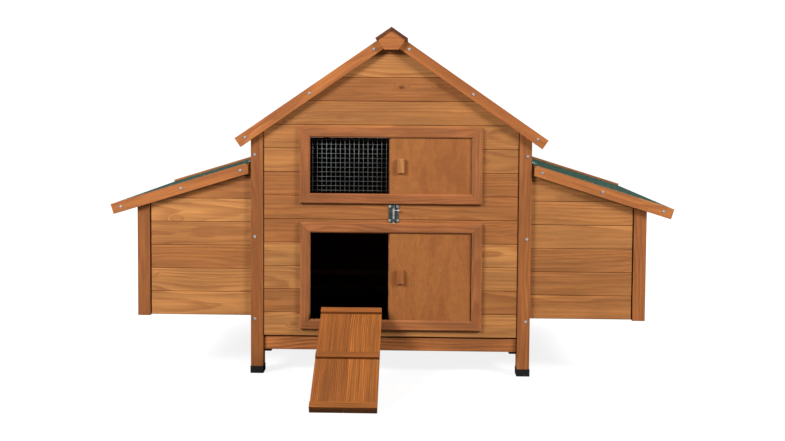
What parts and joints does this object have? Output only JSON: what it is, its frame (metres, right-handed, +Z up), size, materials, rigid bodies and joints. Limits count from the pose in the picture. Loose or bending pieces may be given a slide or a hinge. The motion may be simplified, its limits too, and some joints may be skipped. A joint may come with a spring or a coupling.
{
  "type": "chicken coop",
  "caption": "Stained-wood chicken coop with a gabled house on posts, hinged nest-box wings, mesh window, sliding pop door, droppings tray and ramp",
  "frame": {"origin": "on the ground, in the middle of the footprint with the ramp down", "axes": "+X to the right seen from the front, +Y to the rear (the front faces -Y), +Z up"},
  "size_m": [1.5482, 1.002, 0.9574],
  "materials": {
    "plank_wood": "orange-brown stained fir, grain across",
    "side_plank_wood": "orange-brown stained fir, grain front to back",
    "post_wood": "orange-brown stained fir, grain upright",
    "inner_wood": "stained fir, inner framing",
    "perch_wood": "stained fir, rounded edges",
    "frame_wood": "red-brown stained moulding",
    "panel_plywood": "stained plywood",
    "deck_plywood": "stained plywood under felt",
    "barge_wood": "orange-brown stained fir, grain along the slope",
    "ridge_wood": "dark brown stained fir",
    "tray_wood": "orange-brown stained fir",
    "tray_board": "hardboard",
    "ramp_wood": "orange-brown stained fir, grain along the ramp",
    "green_felt": "green mineral-surfaced roofing felt",
    "mesh_wire": "dark coated welded wire",
    "galvanised_steel": "galvanised",
    "black_plastic": "moulded black plastic"
  },
  "bodies": {
    "house": {"post_front_left": "post_wood", "post_front_right": "post_wood", "post_rear_left": "post_wood", "post_rear_right": "post_wood", "nest_left_posts": "post_wood", "nest_right_posts": "post_wood", "foot_caps": "black_plastic", "front_wall_planks": "plank_wood", "rear_wall_planks": "plank_wood", "nest_left_side_planks": "plank_wood", "nest_right_side_planks": "plank_wood", "left_wall_planks": "side_plank_wood", "right_wall_planks": "side_plank_wood", "nest_left_end_planks": "side_plank_wood", "nest_right_end_planks": "side_plank_wood", "wall_battens": "inner_wood", "tray_rails": "inner_wood", "perch_brackets": "inner_wood", "nest_left_floor": "inner_wood", "nest_right_floor": "inner_wood", "nest_left_divider": "inner_wood", "nest_right_divider": "inner_wood", "perch": "perch_wood", "window_rails": "frame_wood", "door_rails": "frame_wood", "window_stiles": "frame_wood", "door_stiles": "frame_wood", "window_mesh": "mesh_wire", "roof_deck_left": "deck_plywood", "roof_deck_right": "deck_plywood", "roof_felt_left": "green_felt", "roof_felt_right": "green_felt", "barge_boards_left": "barge_wood", "barge_boards_right": "barge_wood", "ridge_cap_left": "ridge_wood", "ridge_cap_right": "ridge_wood", "ridge_end_plates": "ridge_wood", "bolt_plate": "galvanised_steel", "lid_hinge_leaves": "galvanised_steel", "ramp_hinge_plates": "galvanised_steel", "house_screws": "galvanised_steel"},
    "window_panel": {"window_panel": "panel_plywood", "window_panel_pull": "frame_wood"},
    "pop_door": {"pop_door": "panel_plywood", "pop_door_pull": "frame_wood"},
    "bolt": {"bolt_rod": "galvanised_steel"},
    "tray": {"tray_front": "tray_wood", "tray_bottom": "tray_board", "tray_frame": "inner_wood"},
    "lid_left": {"lid_left_deck": "deck_plywood", "lid_left_felt": "green_felt", "lid_left_barges": "barge_wood", "lid_left_fittings": "galvanised_steel"},
    "lid_right": {"lid_right_deck": "deck_plywood", "lid_right_felt": "green_felt", "lid_right_barges": "barge_wood", "lid_right_fittings": "galvanised_steel"},
    "ramp": {"ramp_boards": "ramp_wood", "ramp_cleats": "ramp_wood", "ramp_hinge_leaves": "galvanised_steel"}
  },
  "joints": [
    {"name": "window_slide", "type": "slide", "parent": "house", "child": "window_panel", "axis": [-1, 0, 0], "range_m": [0, 0.218]},
    {"name": "pop_door_slide", "type": "slide", "parent": "house", "child": "pop_door", "axis": [-1, 0, 0], "range_m": [0, 0.218]},
    {"name": "bolt_slide", "type": "slide", "parent": "house", "child": "bolt", "axis": [0, 0, -1], "range_m": [0, 0.015]},
    {"name": "tray_slide", "type": "slide", "parent": "house", "child": "tray", "axis": [0, -1, 0], "range_m": [0, 0.12]},
    {"name": "lid_left_hinge", "type": "hinge", "parent": "house", "child": "lid_left", "pos_m": [-0.3887, 0.14601, 0.58878], "axis": [0, 1, 0], "range_deg": [0, 68]},
    {"name": "lid_right_hinge", "type": "hinge", "parent": "house", "child": "lid_right", "pos_m": [0.3887, 0.14601, 0.58878], "axis": [0, -1, 0], "range_deg": [0, 68]},
    {"name": "ramp_hinge", "type": "hinge", "parent": "house", "child": "ramp", "pos_m": [-0.105, -0.19849, 0.1655], "axis": [-1, 0, 0], "range_deg": [0, 28]}
  ]
}
